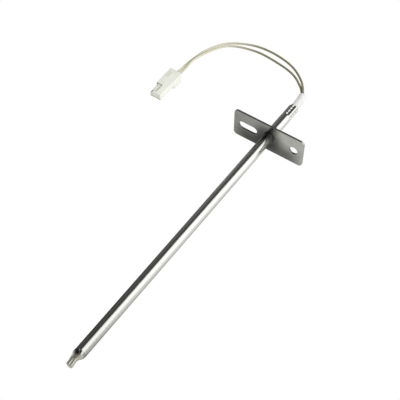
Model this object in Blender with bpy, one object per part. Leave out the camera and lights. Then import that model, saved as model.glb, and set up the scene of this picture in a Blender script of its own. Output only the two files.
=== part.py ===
"""Two-wire resistance temperature probe in a stainless sheath, with flange, leads and connector.

The tube lies along Y, its swaged point towards -Y and its wires towards +Y. The flange stands on
its long edge across the tube, and the free wires curve round to a two-way nylon connector, which
lies on the same surface as the flange. Units are metres, +Z is up, and the origin is on that
surface, below the middle of the tube.
"""

import math

import bmesh
import bpy
from mathutils import Vector

MM = 0.001

# Sheath: a 1/4 inch stainless tube, closed at its point
TUBE_LENGTH = 206.4 * MM
TUBE_R = 3.175 * MM
TUBE_BORE_R = 2.675 * MM
NECK_R = 1.85 * MM
NECK_LENGTH = 4.0 * MM
TAPER_LENGTH = 2.9 * MM
TIP_CHAMFER = 0.3 * MM
TIP_TO_BORE = 7.0 * MM
BORE_CONE_LENGTH = 3.0 * MM
BORE_END_R = 0.6 * MM
TIP_TO_FLANGE = 177.7 * MM
TUBE_SIDES = 36

# Three flutes pressed into the point, and rows of six dents pressed round the rear end
FLUTES = 3
FLUTE_DEPTH = 0.9 * MM
FLUTE_LENGTH = 12.0 * MM
FLUTE_STEPS = 14
FLUTE_SHARPNESS = 2
FLUTE_TURN = math.radians(-10)
DENTS = 6
DENT_DEPTH = 0.3 * MM
DENT_LENGTH = 2.3 * MM
DENT_PITCH = 2.6 * MM
DENT_ROWS = 4
DENT_TO_END = 1.6 * MM
DENT_STEPS = 26

# Flange: a steel plate with a round hole, a slot and the tube's hole
FLANGE_WIDTH = 46.7 * MM
FLANGE_HEIGHT = 20.0 * MM
FLANGE_THICKNESS = 1.2 * MM
FLANGE_CORNER_R = 2.4 * MM
HOLE_X = 17.1 * MM
HOLE_R = 2.7 * MM
SLOT_X = -13.75 * MM
SLOT_LENGTH = 12.6 * MM
TUBE_CLEARANCE = 0.28 * MM
COLLAR_R = 3.9 * MM
COLLAR_LENGTH = 1.0 * MM
COLLAR_CHAMFER = 0.25 * MM

# Places along the tube
TIP_Y = -TUBE_LENGTH / 2
REAR_Y = TUBE_LENGTH / 2
FLANGE_Y = TIP_Y + TIP_TO_FLANGE
AXIS_Z = FLANGE_HEIGHT / 2
BORE_END_Y = TIP_Y + TIP_TO_BORE

# Sensing element, its packing and its leads
GAP = 0.3 * MM
PACKING_R = 2.35 * MM
PACKING_BORE_R = 1.45 * MM
PACKING_LENGTH = 13.6 * MM
PACKING_WALL = 1.3 * MM
PACKING_Y = BORE_END_Y + 3.8 * MM
ELEMENT_R = 1.15 * MM
ELEMENT_LENGTH = 10.0 * MM
ELEMENT_LEAD_R = 0.2 * MM
SPACER_R = 2.3 * MM
SPACER_LENGTH = 5.0 * MM
SPACER_HOLE_R = 0.5 * MM
SPACER_HOLE_X = 0.85 * MM

# Splices between the element's leads and the insulated wires
SPLICE_X = 1.3 * MM
SPLICE_R = 0.7 * MM
SPLICE_BORE_R = 0.45 * MM
SPLICE_LENGTH = 6.0 * MM
SPLICE_SLEEVE_R = 1.12 * MM
SPLICE_SLEEVE_BORE_R = 0.9 * MM
SPLICE_SLEEVE_LENGTH = 12.4 * MM
CONDUCTOR_R = 0.25 * MM
CONDUCTOR_LENGTH = 4.1 * MM

# Insulated wires, and the sleeve that they leave the tube through
WIRE_R = 0.7 * MM
WIRE_X = 0.45 * MM
WIRE_Z = 0.72 * MM
SLEEVE_INSIDE_R = 2.0 * MM
SLEEVE_INSIDE_BORE_R = 1.7 * MM
SLEEVE_R = 2.45 * MM
SLEEVE_BORE_R = 1.9 * MM
SLEEVE_MOUTH_R = 2.3 * MM
SLEEVE_MOUTH_BORE_R = 1.8 * MM
SLEEVE_INSIDE_LENGTH = 20.0 * MM
SLEEVE_OUTSIDE_LENGTH = 11.8 * MM
SLEEVE_BEND = 0.9 * MM

# Connector: a wide rear body, a narrower nose, two cavities and a latch arm in a recess
CONNECTOR_X = -77.8 * MM
CONNECTOR_Y = 69.3 * MM
NOSE_LENGTH = 13.7 * MM
NOSE_WIDTH = 8.4 * MM
NOSE_BOTTOM = 1.8 * MM
NOSE_TOP = 6.2 * MM
NOSE_BEVEL = 0.3 * MM
BODY_LENGTH = 9.3 * MM
BODY_WIDTH = 9.2 * MM
BODY_HEIGHT = 6.4 * MM
BODY_BEVEL = 0.6 * MM
CAVITY_PITCH = 3.6 * MM
CAVITY_WIDTH = 2.4 * MM
CAVITY_HEIGHT = 2.1 * MM
CAVITY_Z = 3.2 * MM
REBATE_LENGTH = 7.6 * MM
REBATE_WIDTH = 0.8 * MM
CHAMFER = 1.9 * MM
RECESS_FLOOR = 4.95 * MM
RECESS_FRONT = 1.2 * MM
RECESS_REAR = 7.9 * MM
RECESS_RIGHT_X = 0.3 * MM
LATCH_WIDTH = 2.1 * MM
LATCH_LENGTH = 5.6 * MM
LATCH_THICKNESS = 0.6 * MM
LATCH_X = -1.5 * MM
LATCH_Z = 5.75 * MM
LATCH_CATCH = 0.45 * MM

# Crimp contacts in the cavities
TERMINAL_R = 0.95 * MM
TERMINAL_NECK_R = 0.8 * MM
TERMINAL_BORE_R = 0.55 * MM
TERMINAL_INSET = 1.3 * MM
SOCKET_LENGTH = 9.0 * MM
TERMINAL_LENGTH = 15.2 * MM
WIRE_END_INSET = 5.3 * MM

# Routes of the two free wires, from the tube's rear end to inside the connector, in millimetres
ROUTE_A = (
    (0.45, 103.35, 10.72), (0.42, 107.0, 10.72), (0.25, 110.2, 10.74), (-0.1, 112.9, 10.75),
    (-0.75, 115.0, 10.8), (-1.75, 116.6, 10.8), (-3.6, 119.7, 10.15), (-5.7, 122.9, 9.1),
    (-8.7, 127.1, 7.3), (-13.4, 132.1, 5.5), (-19.0, 137.0, 3.7), (-25.5, 141.0, 2.1),
    (-32.5, 143.6, 1.1), (-39.4, 144.8, 0.8), (-46.4, 144.9, 0.75), (-53.2, 143.8, 0.75),
    (-59.4, 141.5, 0.75), (-64.6, 138.7, 0.75), (-68.7, 135.5, 0.75), (-71.9, 131.8, 0.75),
    (-74.2, 127.6, 0.75), (-76.2, 123.0, 0.75), (-77.6, 118.6, 0.75), (-78.4, 114.0, 0.75),
    (-78.8, 110.2, 0.85), (-79.0, 106.6, 1.25), (-78.8, 103.0, 1.9), (-78.4, 99.6, 2.5),
    (-78.2, 96.6, 3.0), (-78.6, 94.2, 3.2), (-79.2, 92.0, 3.2), (-79.6, 89.6, 3.2),
    (-79.6, 87.0, 3.2),
)
ROUTE_B = (
    (-0.45, 103.35, 9.28), (-0.42, 107.0, 9.28), (-0.5, 110.2, 9.26), (-0.75, 112.9, 9.25),
    (-1.4, 115.0, 9.2), (-3.0, 117.4, 9.0), (-5.9, 121.3, 8.3), (-9.5, 125.0, 7.2),
    (-13.9, 129.2, 5.7), (-19.2, 133.1, 3.9), (-25.2, 136.1, 2.4), (-32.3, 138.4, 1.2),
    (-39.8, 139.7, 0.8), (-46.6, 140.1, 0.75), (-53.0, 139.3, 0.75), (-58.8, 137.9, 0.75),
    (-63.4, 136.1, 0.75), (-67.1, 133.8, 0.75), (-70.2, 130.5, 0.75), (-72.4, 126.7, 0.75),
    (-74.3, 122.6, 0.8), (-75.7, 118.5, 1.05), (-76.6, 114.7, 1.5), (-77.2, 111.4, 1.9),
    (-77.4, 108.0, 2.05), (-77.2, 104.4, 2.2), (-76.8, 100.6, 2.5), (-76.4, 97.0, 2.95),
    (-76.35, 94.4, 3.15), (-76.4, 92.0, 3.2), (-76.0, 89.6, 3.2), (-76.0, 87.0, 3.2),
)


def clear_scene():
    for obj in list(bpy.data.objects):
        bpy.data.objects.remove(obj, do_unlink=True)


def material(name, colour, metallic, roughness):
    made = bpy.data.materials.get(name) or bpy.data.materials.new(name)
    made.use_nodes = True
    shader = made.node_tree.nodes["Principled BSDF"]
    shader.inputs["Base Color"].default_value = (*colour, 1.0)
    shader.inputs["Metallic"].default_value = metallic
    shader.inputs["Roughness"].default_value = roughness
    return made


def polished_steel():
    return material("polished_stainless", (0.66, 0.66, 0.64), 1.0, 0.14)


def brushed_steel():
    return material("brushed_steel", (0.52, 0.53, 0.51), 1.0, 0.32)


def nickel():
    return material("nickel", (0.62, 0.6, 0.56), 1.0, 0.3)


def tinned_brass():
    return material("tinned_brass", (0.7, 0.66, 0.56), 1.0, 0.28)


def ceramic():
    return material("ceramic", (0.88, 0.86, 0.8), 0.0, 0.5)


def white_sleeving():
    return material("white_sleeving", (0.88, 0.88, 0.86), 0.0, 0.5)


def glass_fibre():
    return material("glass_fibre", (0.66, 0.63, 0.42), 0.0, 0.75)


def nylon():
    return material("natural_nylon", (0.86, 0.88, 0.8), 0.0, 0.35)


def add_object(name, data, finish, location=(0, 0, 0), parent=None):
    obj = bpy.data.objects.new(name, data)
    obj.location = location
    obj.parent = parent
    data.materials.append(finish)
    bpy.context.scene.collection.objects.link(obj)
    return obj


def add_mesh(name, bm, finish, location=(0, 0, 0), parent=None, sharp_deg=40):
    """A bmesh as a named object, its faces pointing out and its round sides smooth."""
    bmesh.ops.recalc_face_normals(bm, faces=bm.faces)
    mesh = bpy.data.meshes.new(name)
    bm.to_mesh(mesh)
    bm.free()
    mesh.shade_smooth()
    mesh.set_sharp_from_angle(angle=math.radians(sharp_deg))
    return add_object(name, mesh, finish, location, parent)


def add_cutter(obj):
    obj.hide_render = True
    obj.display_type = "WIRE"


def boolean(obj, tool, operation):
    modifier = obj.modifiers.new(tool.name, "BOOLEAN")
    modifier.object = tool
    modifier.operation = operation
    modifier.solver = "EXACT"
    add_cutter(tool)


def along_y(bm, rings, loop=False):
    """Skin a row of rings. A ring of one point is a pole; a loop joins the last ring to the first."""
    rows = [[bm.verts.new(point) for point in ring] for ring in rings]
    pairs = list(zip(rows, rows[1:])) + ([(rows[-1], rows[0])] if loop else [])
    for near, far in pairs:
        count = max(len(near), len(far))
        for k in range(count):
            after = (k + 1) % count
            if len(near) == 1:
                bm.faces.new((near[0], far[k], far[after]))
            elif len(far) == 1:
                bm.faces.new((near[k], near[after], far[0]))
            else:
                bm.faces.new((near[k], near[after], far[after], far[k]))


def ring(y, radius, sides, offset=(0, 0), shape=None):
    """A ring about Y at offset. shape gives the depth pressed in at an angle from +Z towards +X."""
    if radius == 0:
        return [(offset[0], y, offset[1])]
    points = []
    for k in range(sides):
        angle = 2 * math.pi * k / sides
        r = radius - (shape(angle, y) if shape else 0.0)
        points.append((offset[0] + r * math.sin(angle), y, offset[1] + r * math.cos(angle)))
    return points


def turned(name, profile, finish, location, sides=20, loop=False, parent=None):
    """A turned piece about Y from (y, radius) steps, relative to its location."""
    bm = bmesh.new()
    along_y(bm, [ring(y, radius, sides) for y, radius in profile], loop)
    return add_mesh(name, bm, finish, location, parent)


def turned_tube(name, length, radius, bore, finish, location, sides=20, parent=None):
    """An open tube along Y from its location."""
    profile = ((0, radius), (length, radius), (length, bore), (0, bore))
    return turned(name, profile, finish, location, sides, loop=True, parent=parent)


def arc(centre, radius, start_deg, end_deg, steps):
    return [
        (
            centre[0] + radius * math.cos(math.radians(start_deg + (end_deg - start_deg) * k / steps)),
            centre[1] + radius * math.sin(math.radians(start_deg + (end_deg - start_deg) * k / steps)),
        )
        for k in range(steps + 1)
    ]


def circle(centre, radius, steps):
    return arc(centre, radius, 0, 360, steps)[:-1]


def rounded_rectangle(width, height, radius, steps=5):
    points = []
    for quarter, (sx, sz) in enumerate(((1, 1), (-1, 1), (-1, -1), (1, -1))):
        centre = (sx * (width / 2 - radius), sz * (height / 2 - radius))
        points += arc(centre, radius, 90 * quarter, 90 * quarter + 90, steps)
    return points


def slot(centre, length, width, steps=8):
    half = (length - width) / 2
    right = arc((centre[0] + half, centre[1]), width / 2, -90, 90, steps)
    left = arc((centre[0] - half, centre[1]), width / 2, 90, 270, steps)
    return right + left


def plate(name, outline, openings, thickness, finish, location, parent=None):
    """A flat plate in XZ with openings, extruded along +Y from its location."""
    bm = bmesh.new()
    edges = []
    for loop in [outline] + openings:
        verts = [bm.verts.new((x, 0, z)) for x, z in loop]
        edges += [bm.edges.new((verts[k - 1], verts[k])) for k in range(len(verts))]
    filled = bmesh.ops.triangle_fill(bm, use_beauty=True, edges=edges)
    faces = [item for item in filled["geom"] if isinstance(item, bmesh.types.BMFace)]
    extruded = bmesh.ops.extrude_face_region(bm, geom=faces, use_keep_orig=True)
    moved = [item for item in extruded["geom"] if isinstance(item, bmesh.types.BMVert)]
    bmesh.ops.translate(bm, vec=(0, thickness, 0), verts=moved)
    return add_mesh(name, bm, finish, location, parent)


def smooth_curve(points, steps):
    """Points on a smooth curve through the given ones (Catmull-Rom, ends held straight)."""
    knots = [Vector(point) for point in points]
    knots = [2 * knots[0] - knots[1]] + knots + [2 * knots[-1] - knots[-2]]
    dense = []
    for a, b, c, d in zip(knots, knots[1:], knots[2:], knots[3:]):
        for k in range(steps):
            t = k / steps
            dense.append(
                0.5 * ((2 * b) + (c - a) * t + (2 * a - 5 * b + 4 * c - d) * t**2
                       + (3 * b - a - 3 * c + d) * t**3)
            )
    return dense + [knots[-2]]


def evenly_spaced(points, spacing):
    """The same line, with points about spacing apart."""
    lengths = [0.0]
    for before, after in zip(points, points[1:]):
        lengths.append(lengths[-1] + (after - before).length)
    count = max(2, round(lengths[-1] / spacing))
    spaced, at = [], 0
    for k in range(count + 1):
        target = lengths[-1] * k / count
        while at < len(points) - 2 and lengths[at + 1] < target:
            at += 1
        share = (target - lengths[at]) / (lengths[at + 1] - lengths[at])
        spaced.append(points[at].lerp(points[at + 1], min(1.0, share)))
    return spaced


def wire(name, points, radius, finish):
    """A round wire along the given points, its ends closed."""
    curve = bpy.data.curves.new(name, "CURVE")
    curve.dimensions = "3D"
    curve.bevel_depth = radius
    curve.bevel_resolution = 2
    curve.use_fill_caps = True
    spline = curve.splines.new("POLY")
    spline.points.add(len(points) - 1)
    for place, point in zip(spline.points, points):
        place.co = (*point, 1.0)
    spline.use_smooth = True
    return add_object(name, curve, finish)


def flute(angle, y):
    """Depth of the three flutes, full in the neck and fading out beyond the taper."""
    past_neck = (y - TIP_Y - NECK_LENGTH) / (FLUTE_LENGTH - NECK_LENGTH)
    fade = min(1.0, max(0.0, 1.0 - past_neck))
    fade = fade * fade * (3 - 2 * fade)
    across = max(0.0, math.cos(FLUTES * (angle - FLUTE_TURN) / 2)) ** (2 * FLUTE_SHARPNESS)
    return FLUTE_DEPTH * fade * across


def dent(angle, y):
    """Depth of the dents that clamp the sleeve in the rear end of the tube."""
    depth = 0.0
    for row in range(DENT_ROWS):
        centre = REAR_Y - DENT_TO_END - row * DENT_PITCH
        across = abs(y - centre) / (DENT_LENGTH / 2)
        if across < 1:
            depth = DENT_DEPTH * (1 - across**2)
    return depth * max(0.0, math.cos(DENTS * angle))


def ridge_radius(y):
    """Radius over the ridges between the flutes, from the neck up to the plain tube."""
    share = min(1.0, max(0.0, (y - TIP_Y - NECK_LENGTH) / TAPER_LENGTH))
    return NECK_R + (TUBE_R - NECK_R) * share


def probe_sheath():
    dent_start = REAR_Y - DENT_TO_END - (DENT_ROWS - 1) * DENT_PITCH - DENT_LENGTH / 2
    dent_end = REAR_Y - DENT_TO_END + DENT_LENGTH / 2
    dented = dent_end - dent_start
    dent_rows = [dent_start + dented * k / DENT_STEPS for k in range(DENT_STEPS + 1)]
    neck_end = TIP_Y + NECK_LENGTH
    fading = FLUTE_LENGTH - NECK_LENGTH
    point_rows = [TIP_Y + TIP_CHAMFER, TIP_Y + NECK_LENGTH / 2]
    point_rows += [neck_end + fading * k / FLUTE_STEPS for k in range(FLUTE_STEPS + 1)]
    rings = [
        ring(TIP_Y, 0, TUBE_SIDES),
        ring(TIP_Y, NECK_R - TIP_CHAMFER, TUBE_SIDES, shape=flute),
    ]
    rings += [ring(y, ridge_radius(y), TUBE_SIDES, shape=flute) for y in point_rows]
    rings += [ring(y, TUBE_R, TUBE_SIDES, shape=dent) for y in dent_rows]
    rings += [ring(REAR_Y, TUBE_R, TUBE_SIDES), ring(REAR_Y, TUBE_BORE_R, TUBE_SIDES)]
    rings += [ring(y, TUBE_BORE_R, TUBE_SIDES, shape=dent) for y in reversed(dent_rows)]
    rings += [
        ring(BORE_END_Y + BORE_CONE_LENGTH, TUBE_BORE_R, TUBE_SIDES),
        ring(BORE_END_Y, BORE_END_R, TUBE_SIDES),
        ring(BORE_END_Y, 0, TUBE_SIDES),
    ]
    bm = bmesh.new()
    along_y(bm, rings)
    add_mesh("probe_sheath", bm, polished_steel(), (0, 0, AXIS_Z))


def mounting_flange():
    outline = rounded_rectangle(FLANGE_WIDTH, FLANGE_HEIGHT, FLANGE_CORNER_R)
    openings = [
        circle((0, 0), TUBE_R + TUBE_CLEARANCE, TUBE_SIDES),
        circle((HOLE_X, 0), HOLE_R, 24),
        slot((SLOT_X, 0), SLOT_LENGTH, 2 * HOLE_R),
    ]
    place = (0, FLANGE_Y, AXIS_Z)
    plate("mounting_flange", outline, openings, FLANGE_THICKNESS, brushed_steel(), place)


def flange_collar():
    inner = TUBE_R + TUBE_CLEARANCE
    profile = (
        (0, inner), (0, COLLAR_R - COLLAR_CHAMFER), (COLLAR_CHAMFER, COLLAR_R),
        (COLLAR_LENGTH, COLLAR_R), (COLLAR_LENGTH, inner),
    )
    place = (0, FLANGE_Y - GAP - COLLAR_LENGTH, AXIS_Z)
    turned("flange_collar", profile, brushed_steel(), place, TUBE_SIDES, loop=True)


def sensing_end():
    """The element in its ceramic cup, the twin-bore spacer and the element's two leads."""
    cup = (
        (0, 0), (0, PACKING_R), (PACKING_LENGTH, PACKING_R), (PACKING_LENGTH, PACKING_BORE_R),
        (PACKING_WALL, PACKING_BORE_R), (PACKING_WALL, 0),
    )
    turned("tip_packing", cup, ceramic(), (0, PACKING_Y, AXIS_Z))
    edge = 0.2 * MM
    body = (
        (0, 0), (0, ELEMENT_R - edge), (edge, ELEMENT_R), (ELEMENT_LENGTH - edge, ELEMENT_R),
        (ELEMENT_LENGTH, ELEMENT_R - edge), (ELEMENT_LENGTH, 0),
    )
    element_y = PACKING_Y + PACKING_WALL + GAP
    turned("sensing_element", body, ceramic(), (0, element_y, AXIS_Z))

    spacer_y = PACKING_Y + PACKING_LENGTH + 0.5 * MM
    outline = circle((0, 0), SPACER_R, 24)
    bores = [circle((side * SPACER_HOLE_X, 0), SPACER_HOLE_R, 12) for side in (1, -1)]
    plate("ceramic_spacer", outline, bores, SPACER_LENGTH, ceramic(), (0, spacer_y, AXIS_Z))

    lead_y = element_y + ELEMENT_LENGTH + GAP
    splice_y = spacer_y + SPACER_LENGTH + 3.1 * MM
    for letter, side in (("a", 1), ("b", -1)):
        route = [
            (side * 0.55 * MM, lead_y, AXIS_Z),
            (side * SPACER_HOLE_X, spacer_y - 0.2 * MM, AXIS_Z),
            (side * SPACER_HOLE_X, spacer_y + SPACER_LENGTH + 0.2 * MM, AXIS_Z),
            (side * SPLICE_X, splice_y - 0.7 * MM, AXIS_Z),
            (side * SPLICE_X, splice_y + 2.7 * MM, AXIS_Z),
        ]
        wire(f"element_lead_{letter}", route, ELEMENT_LEAD_R, nickel())
        splice(letter, side * SPLICE_X, splice_y)


def splice(letter, x, y):
    """Crimp barrel, insulating sleeve and the wire's bared end, from y on."""
    barrel = (x, y, AXIS_Z)
    turned_tube(f"splice_barrel_{letter}", SPLICE_LENGTH, SPLICE_R, SPLICE_BORE_R, nickel(), barrel, 14)
    sleeve = (x, y - 1.2 * MM, AXIS_Z)
    turned_tube(
        f"splice_sleeve_{letter}", SPLICE_SLEEVE_LENGTH, SPLICE_SLEEVE_R, SPLICE_SLEEVE_BORE_R,
        white_sleeving(), sleeve, 16,
    )
    start = y + SPLICE_LENGTH / 2 + 0.4 * MM
    ends = ((x, start, AXIS_Z), (x, start + CONDUCTOR_LENGTH, AXIS_Z))
    wire(f"conductor_front_{letter}", ends, CONDUCTOR_R, nickel())
    inner_lead(letter, x, start + CONDUCTOR_LENGTH + GAP)


def sleeve_bend(y):
    """Where the exit sleeve's centreline has bent to at y, and its slope there."""
    share = max(0.0, (y - REAR_Y) / SLEEVE_OUTSIDE_LENGTH)
    return -SLEEVE_BEND * share**3, -3 * SLEEVE_BEND * share**2 / SLEEVE_OUTSIDE_LENGTH


def inner_lead(letter, x, start):
    """The insulated wire's run from its splice to the tube's rear end, where the free wire starts."""
    side = math.copysign(1, x)
    end = (side * WIRE_X, REAR_Y - GAP / 2, AXIS_Z + side * WIRE_Z)
    settled = (end[0], REAR_Y - SLEEVE_INSIDE_LENGTH, end[2])
    route = [(x, start, AXIS_Z), (x, start + 6 * MM, AXIS_Z), settled, end]
    wire(f"inner_lead_{letter}", route, WIRE_R, glass_fibre())


def sleeve_ring(y, radius):
    """A ring of the exit sleeve, square to its bent centreline."""
    centre, slope = sleeve_bend(y)
    return [(x, y - slope * (x - centre), z) for x, y, z in ring(y, radius, 24, offset=(centre, 0))]


def exit_sleeve():
    """White sleeve, narrow where the tube clamps it and wider outside, bending towards -X."""
    start = REAR_Y - SLEEVE_INSIDE_LENGTH
    shoulder = REAR_Y + 0.4 * MM
    wide = shoulder + 0.8 * MM
    steps = 7
    shares = [k / steps for k in range(steps + 1)]
    mouth = REAR_Y + SLEEVE_OUTSIDE_LENGTH
    outside = [wide + (mouth - wide) * share for share in shares]
    rings = [sleeve_ring(start, SLEEVE_INSIDE_R), sleeve_ring(shoulder, SLEEVE_INSIDE_R)]
    for share, y in zip(shares, outside):
        rings.append(sleeve_ring(y, SLEEVE_R + (SLEEVE_MOUTH_R - SLEEVE_R) * share**2))
    for share, y in zip(reversed(shares), reversed(outside)):
        rings.append(sleeve_ring(y, SLEEVE_BORE_R + (SLEEVE_MOUTH_BORE_R - SLEEVE_BORE_R) * share**2))
    rings += [sleeve_ring(shoulder, SLEEVE_INSIDE_BORE_R), sleeve_ring(start, SLEEVE_INSIDE_BORE_R)]
    bm = bmesh.new()
    along_y(bm, rings, loop=True)
    add_mesh("exit_sleeve", bm, white_sleeving(), (0, 0, AXIS_Z))


def lead_wires():
    for letter, route in (("a", ROUTE_A), ("b", ROUTE_B)):
        points = smooth_curve([Vector(point) * MM for point in route], 12)
        wire(f"lead_wire_{letter}", evenly_spaced(points, 3.4 * MM), WIRE_R, glass_fibre())


def box(name, low, high, finish, parent, bevel=0.0):
    """A box between two corners in its parent's space, its origin at its middle."""
    middle = [(a + b) / 2 for a, b in zip(low, high)]
    bm = bmesh.new()
    bmesh.ops.create_cube(bm, size=1.0)
    bmesh.ops.scale(bm, vec=[b - a for a, b in zip(low, high)], verts=bm.verts)
    if bevel:
        bmesh.ops.bevel(bm, geom=bm.edges, offset=bevel, segments=2, profile=0.5, affect="EDGES")
    return add_mesh(name, bm, finish, middle, parent)


def connector_housing(frame):
    """Body and nose in one, with two cavities right through, a rebate and a chamfer that key the
    nose's left side, and the latch arm's recess."""
    rear = NOSE_LENGTH + BODY_LENGTH
    left = -NOSE_WIDTH / 2
    over = 1.0 * MM
    housing = box(
        "connector_housing", (-BODY_WIDTH / 2, NOSE_LENGTH, 0), (BODY_WIDTH / 2, rear, BODY_HEIGHT),
        nylon(), frame, BODY_BEVEL,
    )
    nose = box(
        "nose_block", (left, 0, NOSE_BOTTOM), (NOSE_WIDTH / 2, NOSE_LENGTH + 2 * over, NOSE_TOP),
        nylon(), frame, NOSE_BEVEL,
    )
    boolean(housing, nose, "UNION")
    for letter, side in (("a", -1), ("b", 1)):
        x = side * CAVITY_PITCH / 2
        low = (x - CAVITY_WIDTH / 2, -over, CAVITY_Z - CAVITY_HEIGHT / 2)
        high = (x + CAVITY_WIDTH / 2, rear + over, CAVITY_Z + CAVITY_HEIGHT / 2)
        boolean(housing, box(f"cavity_{letter}", low, high, nylon(), frame), "DIFFERENCE")

    key_x = left + REBATE_WIDTH
    bottom, top = NOSE_BOTTOM - over, NOSE_TOP + over
    side = (
        (left - over, bottom), (key_x, bottom), (key_x, NOSE_TOP - CHAMFER),
        (key_x + CHAMFER + over, top), (left - over, top),
    )
    key = plate("side_key", side, [], REBATE_LENGTH + over, nylon(), (0, -over, 0), frame)
    boolean(housing, key, "DIFFERENCE")
    low = (left - 2 * over, RECESS_FRONT, RECESS_FLOOR)
    high = (RECESS_RIGHT_X, RECESS_REAR, top + over)
    boolean(housing, box("latch_recess", low, high, nylon(), frame), "DIFFERENCE")


def connector_latch(frame):
    """The sprung arm, drawn from its root, which is its hinge, towards +Y, with a catch on top."""
    half = LATCH_THICKNESS / 2
    ramp_start, catch_top, catch_end = 1.8 * MM, 3.7 * MM, 3.9 * MM
    outline = (
        (-half, -half), (LATCH_LENGTH, -half), (LATCH_LENGTH, half), (catch_end, half),
        (catch_top, half + LATCH_CATCH), (ramp_start, half), (-half, half),
    )
    bm = bmesh.new()
    left = [bm.verts.new((-LATCH_WIDTH / 2, y, z)) for y, z in outline]
    side = bm.faces.new(left)
    extruded = bmesh.ops.extrude_face_region(bm, geom=[side], use_keep_orig=True)
    moved = [item for item in extruded["geom"] if isinstance(item, bmesh.types.BMVert)]
    bmesh.ops.translate(bm, vec=(LATCH_WIDTH, 0, 0), verts=moved)
    root = (LATCH_X, RECESS_FRONT + GAP + half, LATCH_Z)
    add_mesh("connector_latch", bm, nylon(), root, frame)


def terminal(letter, side, frame):
    """A crimp contact: socket in front, neck, and crimp barrel round the wire's bared end."""
    x = side * CAVITY_PITCH / 2
    neck, barrel = SOCKET_LENGTH, SOCKET_LENGTH + 1.2 * MM
    step = 0.3 * MM
    profile = (
        (0, TERMINAL_R), (neck - step, TERMINAL_R), (neck, TERMINAL_NECK_R), (barrel, TERMINAL_NECK_R),
        (barrel + step, TERMINAL_R), (TERMINAL_LENGTH, TERMINAL_R), (TERMINAL_LENGTH, TERMINAL_BORE_R),
        (0, TERMINAL_BORE_R),
    )
    place = (x, TERMINAL_INSET, CAVITY_Z)
    turned(f"terminal_{letter}", profile, tinned_brass(), place, 16, loop=True, parent=frame)
    end = CONNECTOR_Y + NOSE_LENGTH + BODY_LENGTH - WIRE_END_INSET - GAP
    points = [(CONNECTOR_X + x, end - 4.7 * MM, CAVITY_Z), (CONNECTOR_X + x, end, CAVITY_Z)]
    wire(f"conductor_rear_{letter}", points, CONDUCTOR_R, nickel())


def connector():
    frame = bpy.data.objects.new("connector_frame", None)
    frame.location = (CONNECTOR_X, CONNECTOR_Y, 0)
    bpy.context.scene.collection.objects.link(frame)
    connector_housing(frame)
    connector_latch(frame)
    terminal("a", -1, frame)
    terminal("b", 1, frame)


def main():
    clear_scene()
    probe_sheath()
    mounting_flange()
    flange_collar()
    sensing_end()
    exit_sleeve()
    lead_wires()
    connector()


main()
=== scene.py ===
"""The two-wire temperature probe as it looks: detailed pieces and finishes round its CAD frame."""

import math

import bmesh
import bpy
from mathutils import Matrix, Vector, noise


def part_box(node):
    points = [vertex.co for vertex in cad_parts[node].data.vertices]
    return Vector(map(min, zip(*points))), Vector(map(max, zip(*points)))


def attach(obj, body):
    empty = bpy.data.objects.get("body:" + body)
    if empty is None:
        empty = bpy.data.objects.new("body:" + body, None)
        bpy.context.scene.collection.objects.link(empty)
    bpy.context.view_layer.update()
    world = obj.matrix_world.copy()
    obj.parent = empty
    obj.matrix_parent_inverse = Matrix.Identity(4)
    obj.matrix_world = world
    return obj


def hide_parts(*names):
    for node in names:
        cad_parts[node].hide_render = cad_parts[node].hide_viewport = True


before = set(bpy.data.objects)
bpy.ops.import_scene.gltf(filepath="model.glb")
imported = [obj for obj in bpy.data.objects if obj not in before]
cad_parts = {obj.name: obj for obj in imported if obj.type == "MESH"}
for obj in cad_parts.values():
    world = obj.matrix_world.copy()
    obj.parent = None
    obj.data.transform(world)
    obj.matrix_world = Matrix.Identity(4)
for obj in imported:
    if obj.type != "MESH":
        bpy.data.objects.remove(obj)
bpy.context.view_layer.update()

MM = 0.001
TURN = 2 * math.pi

# Middles of the two free wires, from the tube's rear end to inside the connector, in millimetres
ROUTE_A = (
    (0.45, 103.35, 10.72), (0.42, 107.0, 10.72), (0.25, 110.2, 10.74), (-0.1, 112.9, 10.75),
    (-0.75, 115.0, 10.8), (-1.75, 116.6, 10.8), (-3.6, 119.7, 10.15), (-5.7, 122.9, 9.1),
    (-8.7, 127.1, 7.3), (-13.4, 132.1, 5.5), (-19.0, 137.0, 3.7), (-25.5, 141.0, 2.1),
    (-32.5, 143.6, 1.1), (-39.4, 144.8, 0.8), (-46.4, 144.9, 0.75), (-53.2, 143.8, 0.75),
    (-59.4, 141.5, 0.75), (-64.6, 138.7, 0.75), (-68.7, 135.5, 0.75), (-71.9, 131.8, 0.75),
    (-74.2, 127.6, 0.75), (-76.2, 123.0, 0.75), (-77.6, 118.6, 0.75), (-78.4, 114.0, 0.75),
    (-78.8, 110.2, 0.85), (-79.0, 106.6, 1.25), (-78.8, 103.0, 1.9), (-78.4, 99.6, 2.5),
    (-78.2, 96.6, 3.0), (-78.6, 94.2, 3.2), (-79.2, 92.0, 3.2), (-79.6, 89.6, 3.2),
    (-79.6, 87.0, 3.2),
)
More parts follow.
